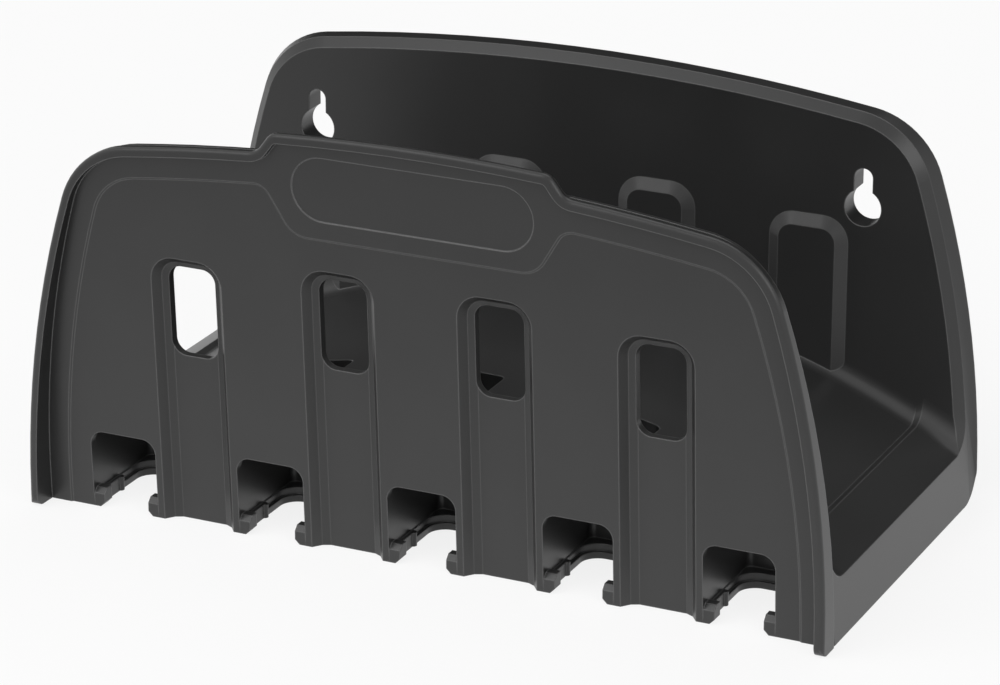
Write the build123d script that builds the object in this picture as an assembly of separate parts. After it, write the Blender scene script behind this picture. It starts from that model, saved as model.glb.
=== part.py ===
from build123d import *
import os
from math import acos, atan2, cos, degrees, hypot, radians, sin, sqrt, tan

# A wall hanger for a coiled hose: one injection moulding. It stands on z = 0 with the wall behind it,
# at +Y. Everything is in millimetres, and the origin is the middle of the footprint.

# Overall
width = 270.0
depth = 135.4  # front rim to wall
plate_height = 132.0  # crown of both upright plates
sheet = 2.8  # wall thickness of the plates and ends

# Shared front view of the plates
crown_radius = 700.0  # arched top
side_radius = 335.0  # bowed sides
side_start = 5.0  # height where the side arcs spring
corner_radius = 28.0

# Front plate
rim_depth = 9.2  # rim ahead of the panel, at the feet
rim_width = 3.0  # rim's front face, with its rounded corner
rim_draft = 1.0  # degrees, inner wall of the rim
rim_round = 1.6
toe_round = 3.4  # lower front corner of the rim's feet
lean = 2.9  # degrees, the panel leans out towards the top
panel_inset = 10.2  # rim's outer edge to the edge of the sunk panel
panel_drop = 0.45  # the panel lies this far behind its border
panel_slope = 0.6  # width of the step between them

# Tab for the label on the front plate
tab_rise = 6.3  # tab's crown over the plate's
tab_half = 48.35  # middle of each shoulder
tab_middle_rise = 1.6  # that middle over the plate's crown
tab_slope = 53.0  # degrees
tab_round = 5.0
dip_half = 45.0  # middle of the S-curves that dip under the tab
dip_middle_drop = 19.5  # from the plate's crown
dip_drop = 27.4
dip_slope = 59.0  # degrees
dip_top_round = 6.0
dip_foot_round = 8.5
label_half = 40.0
label_height = 20.6
label_drop = 11.4  # middle of the label
label_depth = 0.35

# Channels, windows and notches, spread at one pitch
pitch = 52.37
channel_half = 12.3
channel_depth = 4.0
channel_flank = 3.1  # sideways run of each sloped flank
channel_round = 8.0
channel_ease = 1.5  # slope between each flank and the channel's floor
channel_top_gap = 3.8  # window's top to the channel's upper end
window_half = 8.13
window_height = 30.0
window_round = 4.7
window_top = 90.3  # inner pair
window_drop = 3.9  # outer pair sits lower
notch_half = 11.6
notch_height = 26.3
notch_round = 4.7

# Pockets behind the notches, open to the trough, with a slotted shelf at the foot
pocket_reach = 35.1  # panel to the inside of the rear wall
pocket_round = 2.0
pocket_wall = 2.28
shelf_height = 4.6
slot_half = 10.4
slot_reach = 30.6
slot_round = 6.0
seat_half = 11.3
seat_start = 16.0
seat_step = 1.0  # rear edge of the seat past the slot
seat_floor = 2.2
lip_gap = 7.9  # half of the way in between the lips
lip_height = 6.0
lip_reach = 4.4
lip_bevel = 1.6
nub_radius = 1.2
nub_rise = 0.9

# Trough
floor_radius = 262.0
floor_crown = 53.0
strip_rise = 1.8  # thicker strips of floor at both ends
strip_half = 116.5  # middle to the foot of the strip's step
strip_run = 2.4  # sideways run of that step
cove_back = 5.7
cove_strip = 7.0  # the same cove over the strips
cove_end = 14.3  # cove to the bevel beyond the back plate's edge
cove_front = 10.0

# Back plate
back_hollow = 8.2  # plate's front face to the wall
back_bevel = 3.0
flare_side = 1.75  # the sides draw in this much from the wall to the bevel
flare_top = 0.3
heel_round = 9.5  # lower rear corner
pad_half = 13.3
pad_flank = 3.7
pad_raise = 2.2
pad_round = 8.5

# Keyholes
keyhole_x = 96.42
keyhole_z = 94.6
keyhole_radius = 6.1
keyhole_slot_half = 3.05
keyhole_rise = 9.95  # head's centre to the slot's upper centre
boss_wall = 2.2

rim_y = -depth / 2
panel_y = rim_y + rim_depth
wall_y = depth / 2
back_y = wall_y - back_hollow
bevel_y = back_y + back_bevel
tab_height = plate_height + tab_rise
channel_draft = degrees(atan2(channel_flank, channel_depth))
pad_draft = degrees(atan2(pad_flank, pad_raise))
clear = 20.0  # cutters run past the part by this much

notch_places = [pitch * k for k in (-2, -1, 0, 1, 2)]
channel_places = [pitch * k for k in (-1.5, -0.5, 0.5, 1.5)]


def leaning(behind=0.0):
    """Plane of the front panel, or one parallel to it and so far behind it."""
    out = Vector(0, -cos(radians(lean)), -sin(radians(lean)))
    return Plane(origin=Vector(0, panel_y, 0) - out * behind, x_dir=(1, 0, 0), z_dir=out)


def upright(face, start, end, draft=0.0):
    """Sweep a front view, drawn on XY, from one depth to another, with draft if any."""
    return extrude(Plane.XZ.offset(-start) * face, amount=end - start, dir=(0, 1, 0), taper=draft)


def layered(face_a, y_a, face_b, y_b):
    """Straight-sided solid between two front views of the same make."""
    return loft([Plane.XZ.offset(-y_a) * face_a, Plane.XZ.offset(-y_b) * face_b], ruled=True)


def plate_outline(inset=0.0, narrow=0.0, drop=0.0):
    """Front view of a plate, inset all round but at the feet, with its sides drawn in further."""
    side_r, top_r = side_radius - inset, crown_radius - inset
    side_x = width / 2 - narrow - side_radius
    top_z = plate_height - crown_radius
    foot_x, foot_z = width / 2 - inset, -drop
    # The straight foot of each side is the tangent from the foot's corner to the side arc.
    turn = atan2(foot_z - side_start, foot_x - side_x)
    turn += acos(min(1.0, side_r / hypot(foot_x - side_x, foot_z - side_start)))
    spring = (side_x + side_r * cos(turn), side_start + side_r * sin(turn))
    # The side arc and the crown arc meet where both circles do.
    gap = hypot(side_x, side_start - top_z)
    along = (gap**2 + top_r**2 - side_r**2) / (2 * gap)
    off = sqrt(top_r**2 - along**2)
    ux, uz = side_x / gap, (side_start - top_z) / gap
    corner = (along * ux + off * uz, top_z + along * uz - off * ux)
    half_turn = (turn + atan2(corner[1] - side_start, corner[0] - side_x)) / 2
    side_mid = (side_x + side_r * cos(half_turn), side_start + side_r * sin(half_turn))
    right = [Line((foot_x, foot_z), spring), ThreePointArc(spring, side_mid, corner)]
    left = [mirror(edge, Plane.YZ) for edge in right]
    top = ThreePointArc(corner, (0, top_z + top_r), (-corner[0], corner[1]))
    base = Line((-foot_x, foot_z), (foot_x, foot_z))
    face = make_face([base, *right, top, *left])
    return fillet(face.vertices().sort_by(Axis.Y)[-2:], corner_radius - inset)


def shoulder(half, middle, slope, low, high):
    """Trapezium whose sloped sides pass through (half, middle)."""
    run = 1 / tan(radians(slope))
    narrow_x, wide_x = half - (high - middle) * run, half + (middle - low) * run
    return Polygon((-wide_x, low), (wide_x, low), (narrow_x, high), (-narrow_x, high), align=None)


def upper_corners(face, reach):
    """Corners of a front view above its foot and near the middle, from the lowest to the highest."""
    return face.vertices().filter_by(lambda v: abs(v.X) < reach and v.Y > 0).sort_by(Axis.Y)


def front_outline(inset=0.0, drop=0.0):
    """Front view of the front plate with its tab, inset all round but at the feet."""
    half = tab_half - inset / sin(radians(tab_slope))
    middle, low, high = plate_height + tab_middle_rise, plate_height - clear, tab_height + clear
    tab = shoulder(half, middle, tab_slope, low, high)
    tab &= Pos(0, tab_height - crown_radius) * Circle(crown_radius - inset)
    face = plate_outline(inset, drop=drop) + tab
    face = fillet(upper_corners(face, half + clear)[:2], tab_round + inset)
    return fillet(upper_corners(face, half + clear)[-2:], tab_round - inset)


def panel_outline(inset=0.0):
    """Front view of the raised panel, which dips under the tab."""
    half = dip_half + inset / sin(radians(dip_slope))
    foot = inset + dip_drop - plate_height
    dip = shoulder(half, dip_middle_drop - plate_height, dip_slope, -plate_height, foot)
    face = plate_outline(panel_inset + inset, drop=clear) - Rot(180) * dip
    face = fillet(upper_corners(face, half + clear)[-2:], dip_top_round - inset)
    return fillet(upper_corners(face, half + clear)[:2], dip_foot_round + inset)


def rounded(x, top, half, radius, foot):
    """Front view of an upright bar with rounded corners."""
    return Pos(x, (top + foot) / 2) * RectangleRounded(2 * half, top - foot, radius)


def window_top_at(x):
    """Height of the window's upper edge: the outer pair sits lower."""
    return window_top if abs(x) < pitch else window_top - window_drop


def low_corner(y, inwards, radius):
    """What a rounding takes off a lower corner along X. Inwards is 1 at the front, -1 behind."""
    centre = Pos(0, y + inwards * radius, radius)
    square = Pos(0, -inwards * radius, -radius) * Box(2 * width, 2 * radius, 2 * radius)
    return centre * (square - Rot(0, 90, 0) * Cylinder(radius, 3 * width))


def floor_arch(rise=0.0):
    """Solid under the arched floor, or under one raised by so much."""
    disc = Pos(0, floor_crown - floor_radius) * Circle(floor_radius + rise)
    return upright(disc, rim_y - clear, wall_y + clear)


def floor_edges(space):
    """Lower edges of a space that stands on the floor, from the front to the back."""
    arched = space.faces().filter_by(GeomType.CYLINDER)
    return arched.sort_by(SortBy.AREA)[-1].edges().filter_by(GeomType.LINE, reverse=True).sort_by(Axis.Y)


def trough(rise=0.0, cove=cove_back, grow=0.0):
    """Space between the plates, over a floor raised by so much. It can be grown all round."""
    view = Pos(0, tab_height / 2) * Rectangle(width + 2 * clear, tab_height + 2 * clear)
    space = upright(view, rim_y - clear, back_y + grow)
    space = split(space, bisect_by=leaning(sheet - grow), keep=Keep.BOTTOM) - floor_arch(rise - grow)
    if grow:
        # The underside has a flat across each cove, where the sheet is no thinner than elsewhere.
        across = 2 - sqrt(2)
        space = chamfer(floor_edges(space)[-1], across * (cove + grow))
        return chamfer(floor_edges(space)[0], across * (cove_front + grow))
    space = fillet(floor_edges(space)[-1], cove)
    return fillet(floor_edges(space)[0], cove_front)


def deep_space():
    """Trough over the floor between the strips, with a sloped step at either end."""
    deep, shallow = trough(), trough(strip_rise, cove_strip)
    middle = deep & Box(2 * strip_half, 2 * depth, 4 * plate_height)
    foot = section(deep, Plane.YZ.offset(strip_half))
    top = section(shallow, Plane.YZ.offset(strip_half + strip_run))
    slope = loft([foot.face(), top.face()], ruled=True)
    return middle + slope + mirror(slope, Plane.YZ)


def end_space():
    """Space ahead of the back plate's bevel at the right end, where the bevel is flat, with its cove."""
    def foot_line(inset):
        lines = plate_outline(inset, flare_side).edges().filter_by(GeomType.LINE)
        ends = lines.sort_by(Axis.X)[-1].vertices().sort_by(Axis.Y)
        return [(end.X, end.Y) for end in ends]

    (x_in, z_low), (x_top, z_top) = foot_line(flare_top + back_bevel)
    x_out = foot_line(flare_top)[0][0]
    corner = Vector(x_in, back_y, z_low)
    across, up = Vector(x_out, bevel_y, z_low) - corner, Vector(x_top, back_y, z_top) - corner
    bevel = Plane(origin=corner, x_dir=across, z_dir=across.cross(up))
    view = Pos(strip_half + width / 4, z_top / 2) * Rectangle(width / 2, z_top)
    space = split(upright(view, 0, wall_y + clear), bisect_by=bevel, keep=Keep.TOP)
    space -= floor_arch(strip_rise)
    meeting = [e for e in floor_edges(space) if abs((e @ 0.5 - corner).dot(bevel.z_dir)) < 0.01]
    return fillet(meeting, cove_end), z_top


def front_plate():
    """Leaning panel with its rim and tab, bevelled towards the trough."""
    plate = upright(front_outline(), rim_y, panel_y + clear)
    plate = split(plate, bisect_by=leaning(sheet), keep=Keep.TOP)
    plate = chamfer(plate.faces().sort_by(Axis.Y)[-1].edges().sort_by(Axis.Z)[1:], sheet)
    plate = fillet(plate.faces().sort_by(Axis.Y)[0].edges().sort_by(Axis.Z)[1:], rim_round)
    plate -= low_corner(rim_y, 1, toe_round)

    border = leaning(-panel_drop)
    recess = upright(front_outline(rim_width, clear), rim_y, panel_y + sheet, rim_draft)
    plate -= split(recess, bisect_by=border, keep=Keep.TOP)
    plate -= loft([border * panel_outline(), leaning() * panel_outline(panel_slope)], ruled=True)
    label = Pos(0, plate_height - label_drop) * SlotOverall(2 * label_half, label_height)
    return plate - extrude(border * label, amount=-label_depth)


def channel(x, swell=0.0, behind=0.0):
    """Sloped channel in the panel, or the bulge that it makes behind the sheet."""
    top = window_top_at(x) + channel_top_gap + swell
    mouth = rounded(x, top, channel_half + swell, channel_round + swell, -clear)
    space = extrude(leaning(behind) * mouth, amount=-channel_depth, taper=channel_draft)
    return space if behind else chamfer(space.faces().sort_by(SortBy.AREA)[-2].edges(), channel_ease)


def pad(x, swell=0.0, behind=0.0):
    """Raised pad on the back plate, or the hollow behind it."""
    top = window_top_at(x) + channel_top_gap + swell
    base = rounded(x, top, pad_half + swell, pad_round + swell, 0)
    return upright(base, back_y + behind, back_y + behind - pad_raise, pad_draft)


def keyhole(x, grow=0.0):
    """Front view of a keyhole."""
    head = Pos(x, keyhole_z) * Circle(keyhole_radius + grow)
    stem = Pos(x, keyhole_z + keyhole_rise / 2) * Rectangle(2 * (keyhole_slot_half + grow), keyhole_rise)
    return head + stem + Pos(x, keyhole_z + keyhole_rise) * Circle(keyhole_slot_half + grow)


def shell():
    """Floor, ends and back plate as one bent sheet, open below and behind."""
    view = plate_outline(flare_top, flare_side)
    bevelled = plate_outline(flare_top + back_bevel, flare_side)
    block = split(upright(view, rim_y, bevel_y), bisect_by=leaning(sheet / 2), keep=Keep.BOTTOM)
    block += layered(view, bevel_y, plate_outline(), wall_y)
    block -= low_corner(wall_y, -1, heel_round)

    right, bevel_top = end_space()
    bevel = upright(view, back_y, bevel_y) - layered(bevelled, back_y, view, bevel_y)
    bevel = split(bevel, bisect_by=Plane.XY.offset(bevel_top), keep=Keep.TOP)
    block -= trough(strip_rise, cove_strip) + deep_space() + right + mirror(right, Plane.YZ) + bevel
    for x in channel_places:
        block += pad(x)

    inside = plate_outline(flare_top + sheet, flare_side)
    hollow = split(upright(inside, rim_y, bevel_y), bisect_by=leaning(sheet), keep=Keep.BOTTOM)
    hollow += layered(inside, bevel_y, plate_outline(sheet), wall_y)
    hollow -= trough(grow=sheet)
    swell = pad_flank * sheet / pad_raise - sheet * hypot(pad_flank, pad_raise) / pad_raise
    for x in channel_places:
        hollow += pad(x, swell, sheet)
    return block - hollow


def pocket_block(x):
    """Walls and shelf of one pocket, up to the floor."""
    half, reach = notch_half + pocket_wall, pocket_reach + pocket_wall
    block = Pos(x, 0, floor_crown / 2) * Box(2 * half, 2 * depth, floor_crown)
    block = split(block, bisect_by=Plane.XZ.offset(-(panel_y + reach)), keep=Keep.TOP)
    block = split(block, bisect_by=leaning(sheet / 2), keep=Keep.BOTTOM)
    return block & floor_arch(-sheet / 2)


def pocket_space(x):
    """Everything that is open in one pocket: its shaft, its notch and the slot in its shelf."""
    shaft_top = floor_crown + cove_front
    view = Pos(x, (shelf_height + shaft_top) / 2) * Rectangle(2 * notch_half, shaft_top - shelf_height)
    shaft = split(upright(view, rim_y, panel_y + pocket_reach), bisect_by=leaning(sheet), keep=Keep.BOTTOM)
    shaft = fillet(shaft.faces().sort_by(Axis.Y)[-1].edges().filter_by(Axis.Z), pocket_round)
    notch = upright(rounded(x, notch_height, notch_half, notch_round, -clear), rim_y, panel_y + sheet)
    slot = slot_space(x, slot_half, slot_reach, slot_round, -clear, shelf_height)
    reach, radius = slot_reach + seat_step, slot_round + seat_step
    seat = slot_space(x, seat_half, reach, radius, seat_floor, shelf_height)
    seat = split(seat, bisect_by=Plane.XZ.offset(-(panel_y + seat_start)), keep=Keep.BOTTOM)
    return shaft + notch + slot + seat


def slot_space(x, half, reach, radius, low, high):
    """Upright prism, open to the front, with two rounded corners behind."""
    plan = Pos(x, panel_y + reach / 2 - radius) * Rectangle(2 * half, reach + 2 * radius)
    plan = fillet(plan.vertices().sort_by(Axis.Y)[-2:], radius)
    return extrude(Pos(0, 0, low) * plan, amount=high - low)


def guides(x):
    """Lips at the mouth of one slot and the nubs behind them."""
    lip_width = notch_half + pocket_wall / 2 - lip_gap
    lip = Pos(x + lip_gap + lip_width / 2, panel_y + lip_reach / 2, lip_height / 2)
    lip *= Box(lip_width, lip_reach, lip_height)
    lip = chamfer(lip.edges().filter_by(Axis.Y).sort_by(Axis.Z)[0:2].sort_by(Axis.X)[0], lip_bevel)
    lip = chamfer(lip.edges().filter_by(Axis.X).sort_by(Axis.Z)[-2:].sort_by(Axis.Y)[0], lip_bevel)
    nub = Pos(x + slot_half + nub_radius - nub_rise, panel_y + seat_start - nub_radius, shelf_height / 2)
    nub *= Cylinder(nub_radius, shelf_height)
    right = lip + nub
    return [right, mirror(right, Plane.YZ.offset(x))]


def hanger():
    """The whole moulding."""
    part = shell() + front_plate()
    swell = sheet * (hypot(channel_flank, channel_depth) - channel_flank) / channel_depth
    for x in channel_places:
        part += channel(x, swell, sheet)
    for x in notch_places:
        part += pocket_block(x)
    for x in (-keyhole_x, keyhole_x):
        part += upright(keyhole(x, boss_wall), back_y, wall_y)
        part -= upright(keyhole(x), back_y - clear, wall_y + clear)
    for x in channel_places:
        top = window_top_at(x)
        window = rounded(x, top, window_half, window_round, top - window_height)
        part = part - channel(x) - upright(window, rim_y, panel_y + 2 * channel_depth + sheet)
    for x in notch_places:
        part -= pocket_space(x)
        part += guides(x)
    return split(part, bisect_by=Plane.XY, keep=Keep.TOP)


os.makedirs("parts", exist_ok=True)
export_step(hanger(), "parts/hose_hanger.step")
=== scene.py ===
import bpy
from math import cos, radians, sin
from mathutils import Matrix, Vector


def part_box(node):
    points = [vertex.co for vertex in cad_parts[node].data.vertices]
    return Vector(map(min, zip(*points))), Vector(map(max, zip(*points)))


# Hose hanger of moulded plastic, on a white studio floor. Lengths are in metres, in the frame's own axes.

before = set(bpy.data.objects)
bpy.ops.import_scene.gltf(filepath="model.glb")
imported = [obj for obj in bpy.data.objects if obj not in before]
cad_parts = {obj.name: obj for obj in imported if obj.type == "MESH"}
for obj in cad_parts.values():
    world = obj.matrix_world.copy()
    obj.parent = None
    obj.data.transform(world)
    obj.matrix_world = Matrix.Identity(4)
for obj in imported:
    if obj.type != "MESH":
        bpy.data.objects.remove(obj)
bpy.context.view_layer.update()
mm = 0.001
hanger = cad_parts["hose_hanger"]
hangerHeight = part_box("hose_hanger")[1][2]
print("frame loaded:", len(hanger.data.polygons), "faces")


def linear(hexColour):
    def channel(value):
        return value / 12.92 if value <= 0.04045 else ((value + 0.055) / 1.055) ** 2.4
    return (*[channel(int(hexColour[k:k + 2], 16) / 255) for k in (1, 3, 5)], 1.0)


# A socket goes by its name, or by its number where several share one.
def addNode(tree, kind, settings=None, links=None):
    node = tree.nodes.new(kind)
    for name, value in (settings or {}).items():
        if isinstance(name, int) or name in node.inputs:
            node.inputs[name].default_value = value
        else:
            setattr(node, name, value)
    for name, source in (links or {}).items():
        tree.links.new(source, node.inputs[name])
    return node


def newMaterial(name):
    material = bpy.data.materials.new(name)
    material.use_nodes = True
    material.node_tree.nodes.clear()
    return material, material.node_tree


# Polypropylene, injection-moulded in a spark-eroded tool: near-black and satin, with a fine even grain.
# Its colour is painted paler towards the foot as painted light from the white floor, and its edges carry
# painted highlights in thin pale lines.
polypropylene = {
    "topColour": "#191919",
    "footColour": "#303030",
    "edgeHighlightColour": "#5e5e5e",
    "cloudShare": 0.3,  # how far random clouds spread round the painted light's even fading with height
    "cloudSize": 30 * mm,
    "cloudDetail": 3.0,
    "roughness": 0.35,
    "roughnessSpread": 0.04,
    "ior": 1.49,
    "grainSize": 0.35 * mm,  # the real grain is near 0.1 mm, too fine to show
    "grainDetail": 2.0,
    "grainHeight": 0.01 * mm,
    "grainStrength": 0.5,
    "edgeRadius": 0.55 * mm,
    "edgeSamples": 6,
    "edgeHighlightTurn": (0.07, 0.42),  # how far the rounded edge's normal turns, from no painted highlight to full
}


# Painted light: the colour fades with height from the top colour to the paler foot colour, with random
# clouds round it.
def paintedFootLightColour(tree, look, place, cloud):
    height = addNode(tree, "ShaderNodeSeparateXYZ", {}, {"Vector": place}).outputs["Z"]
    fading = {"From Max": hangerHeight, "To Min": 1.0, "To Max": 0.0}
    foot = addNode(tree, "ShaderNodeMapRange", fading, {"Value": height})
    spread = look["cloudShare"] / 2
    clouds = addNode(tree, "ShaderNodeMapRange", {"To Min": -spread, "To Max": spread}, {"Value": cloud})
    paintedLight = addNode(tree, "ShaderNodeMath", {"operation": "ADD", "use_clamp": True},
                   {0: foot.outputs["Result"], 1: clouds.outputs["Result"]})
    footLit = addNode(tree, "ShaderNodeValToRGB", {}, {"Fac": paintedLight.outputs["Value"]})
    footLit.color_ramp.elements[0].color = linear(look["topColour"])
    footLit.color_ramp.elements[1].color = linear(look["footColour"])
    return footLit.outputs["Color"]


# Painted highlights: wherever a rounded edge's normal turns, on convex and concave edges alike, the colour
# is painted pale.
def paintedEdgeHighlights(tree, look, colour, edgeNormal):
    faceNormal = addNode(tree, "ShaderNodeNewGeometry").outputs["Normal"]
    turn = addNode(tree, "ShaderNodeVectorMath", {"operation": "DISTANCE"}, {0: edgeNormal, 1: faceNormal})
    least, most = look["edgeHighlightTurn"]
    highlightShare = addNode(tree, "ShaderNodeMapRange", {"From Min": least, "From Max": most},
                      {"Value": turn.outputs["Value"]})
    highlighted = addNode(tree, "ShaderNodeMix", {"data_type": "RGBA", 7: linear(look["edgeHighlightColour"])},
                     {"Factor": highlightShare.outputs["Result"], 6: colour})
    return highlighted.outputs[2]  # the mixed colour, as 6 and 7 are the two colours that go in


def mouldedPolypropylene(look):
    material, tree = newMaterial("mouldedPolypropylene")
    place = addNode(tree, "ShaderNodeTexCoord").outputs["Object"]
    clouds = {"Scale": 1 / look["cloudSize"], "Detail": look["cloudDetail"]}
    cloud = addNode(tree, "ShaderNodeTexNoise", clouds, {"Vector": place}).outputs["Fac"]
    grains = {"Scale": 1 / look["grainSize"], "Detail": look["grainDetail"]}
    grain = addNode(tree, "ShaderNodeTexNoise", grains, {"Vector": place}).outputs["Fac"]
    rounding = {"samples": look["edgeSamples"], "Radius": look["edgeRadius"]}
    edgeNormal = addNode(tree, "ShaderNodeBevel", rounding).outputs["Normal"]

    colour = paintedEdgeHighlights(tree, look, paintedFootLightColour(tree, look, place, cloud), edgeNormal)
    smoothest = look["roughness"] - look["roughnessSpread"] / 2
    patches = {"To Min": smoothest, "To Max": smoothest + look["roughnessSpread"]}
    roughness = addNode(tree, "ShaderNodeMapRange", patches, {"Value": cloud})
    relief = {"Strength": look["grainStrength"], "Distance": look["grainHeight"]}
    bump = addNode(tree, "ShaderNodeBump", relief, {"Height": grain, "Normal": edgeNormal})
    shader = addNode(tree, "ShaderNodeBsdfPrincipled", {"IOR": look["ior"]},
                     {"Base Color": colour, "Roughness": roughness.outputs["Result"],
                      "Normal": bump.outputs["Normal"]})
    addNode(tree, "ShaderNodeOutputMaterial", {}, {"Surface": shader.outputs["BSDF"]})
    return material


hangerPlastic = mouldedPolypropylene(polypropylene)
for slot in hanger.material_slots:
    slot.material = hangerPlastic
print("hanger: moulded polypropylene")

studio = {
    "floorSize": 6.0,
    "floorColour": "#fafafa",
    "white": "#ffffff",
    "shadowShare": 0.16,  # how much of the floor's look is lit, the rest being plain white
    "evenLight": 0.2,
    "lightFrom": {(-0.5, -0.85, 0): 1.9, (0, 0, 1): 0.15},  # a bright wall at the front left; the ceiling
}


# White for what the camera sees, also in a reflection or through glass, and the light for all other rays.
def whiteWhereSeen(tree, white, light):
    rays = addNode(tree, "ShaderNodeLightPath").outputs
    seen = rays["Is Camera Ray"]
    for ray in ("Is Glossy Ray", "Is Transmission Ray"):
        either = addNode(tree, "ShaderNodeMath", {"operation": "MAXIMUM"}, {0: seen, 1: rays[ray]})
        seen = either.outputs["Value"]
    return addNode(tree, "ShaderNodeMixShader", {}, {"Fac": seen, 1: light, 2: white}).outputs["Shader"]


def flatSheet(name, corners, material):
    mesh = bpy.data.meshes.new(name)
    mesh.from_pydata(corners, [], [(0, 1, 2, 3)])
    mesh.materials.append(material)
    sheet = bpy.data.objects.new(name, mesh)
    bpy.context.collection.objects.link(sheet)
    return sheet


# Lacquer, sprayed matt: the floor has no shine, only the soft shadow.
def mattWhiteLacquer(look):
    material, tree = newMaterial("mattWhiteLacquer")
    lit = addNode(tree, "ShaderNodeBsdfDiffuse", {"Color": linear(look["floorColour"])}).outputs["BSDF"]
    white = addNode(tree, "ShaderNodeEmission", {"Color": linear(look["white"]), "Strength": 1.0})
    paled = addNode(tree, "ShaderNodeMixShader", {"Fac": look["shadowShare"]},
                    {1: white.outputs["Emission"], 2: lit})
    surface = whiteWhereSeen(tree, paled.outputs["Shader"], lit)
    addNode(tree, "ShaderNodeOutputMaterial", {}, {"Surface": surface})
    return material


def studioFloor(look):
    half = look["floorSize"] / 2
    corners = [(-half, -half, 0), (half, -half, 0), (half, half, 0), (-half, half, 0)]
    floor = flatSheet("studioFloor", corners, mattWhiteLacquer(look))


# A dark card behind the hanger, which only reflections see. The trough's floor mirrors it.
blackCard = {
    "colour": "#2a2a2a",
    "width": 3.0,
    "bottom": 0.1,
    "top": 1.6,
    "behind": 1.4,
}


# Velvet, woven and black: it takes nearly all the light that falls on it.
def blackVelvet(look):
    material, tree = newMaterial("blackVelvet")
    cloth = addNode(tree, "ShaderNodeBsdfDiffuse", {"Color": linear(look["colour"])})
    addNode(tree, "ShaderNodeOutputMaterial", {}, {"Surface": cloth.outputs["BSDF"]})
    return material


def blackFlag(look):
    across, away = look["width"] / 2, look["behind"]
    low, high = look["bottom"], look["top"]
    corners = [(-across, away, low), (across, away, low), (across, away, high), (-across, away, high)]
    flag = flatSheet("blackFlag", corners, blackVelvet(look))
    flag.visible_camera = flag.visible_diffuse = flag.visible_shadow = False


def studioWorld(look):
    world = bpy.data.worlds.new("studioWorld")
    world.use_nodes = True
    tree = world.node_tree
    tree.nodes.clear()
    direction = addNode(tree, "ShaderNodeTexCoord").outputs["Generated"]
    strength = addNode(tree, "ShaderNodeValue").outputs["Value"]
    strength.default_value = look["evenLight"]
    for side, power in look["lightFrom"].items():
        towards = {"operation": "DOT_PRODUCT", 1: side}
        facing = addNode(tree, "ShaderNodeVectorMath", towards, {0: direction}).outputs["Value"]
        lobe = addNode(tree, "ShaderNodeMapRange", {"To Max": power}, {"Value": facing}).outputs["Result"]
        added = addNode(tree, "ShaderNodeMath", {"operation": "ADD"}, {0: strength, 1: lobe})
        strength = added.outputs["Value"]
    light = addNode(tree, "ShaderNodeBackground", {}, {"Strength": strength})
    white = addNode(tree, "ShaderNodeBackground", {"Color": linear(look["white"]), "Strength": 1.0})
    surface = whiteWhereSeen(tree, white.outputs["Background"], light.outputs["Background"])
    addNode(tree, "ShaderNodeOutputWorld", {}, {"Surface": surface})
    bpy.context.scene.world = world


# Azimuth turns from the front to the right and elevation rises from level, both in degrees.
def aimed(name, data, settings, target):
    turn, rise = radians(settings["azimuth"]), radians(settings["elevation"])
    away = Vector((sin(turn) * cos(rise), -cos(turn) * cos(rise), sin(rise)))
    thing = bpy.data.objects.new(name, data)
    thing.location = Vector(target) + away * settings["distance"]
    thing.rotation_euler = away.to_track_quat("Z", "Y").to_euler()
    bpy.context.collection.objects.link(thing)
    return thing


# Square softboxes: sizes in metres, powers in watts.
lamps = {
    "keyFromFrontRight": {"azimuth": 60, "elevation": 30, "distance": 1.8, "size": 0.9, "power": 6.5},
    "softboxAboveLeft": {"azimuth": -42, "elevation": 50, "distance": 1.8, "size": 1.0, "power": 6},
    "softboxAboveBack": {"azimuth": 180, "elevation": 65, "distance": 1.8, "size": 1.0, "power": 3.5},
}
lampsAimAt = (0, 0, 0.06)


def areaLamp(name, settings):
    light = bpy.data.lights.new(name, "AREA")
    light.energy, light.size = settings["power"], settings["size"]
    aimed(name, light, settings, lampsAimAt)


studioFloor(studio)
studioWorld(studio)
blackFlag(blackCard)
for lampName, lampSettings in lamps.items():
    areaLamp(lampName, lampSettings)
print("studio: floor, world, dark card and", len(lamps), "lamps")

photoCamera = {
    "lens": 152.68,  # in mm, like the sensor
    "sensor": 36.0,
    "azimuth": 25.25,
    "elevation": 20.96,
    "distance": 1.2928,
    "target": (0.0153, -0.0355, 0.069),
}


def addCamera(settings):
    data = bpy.data.cameras.new("photoCamera")
    data.lens, data.sensor_width = settings["lens"], settings["sensor"]
    bpy.context.scene.camera = aimed("photoCamera", data, settings, settings["target"])


addCamera(photoCamera)
bpy.context.scene.view_settings.view_transform = "Standard"
print("camera set")
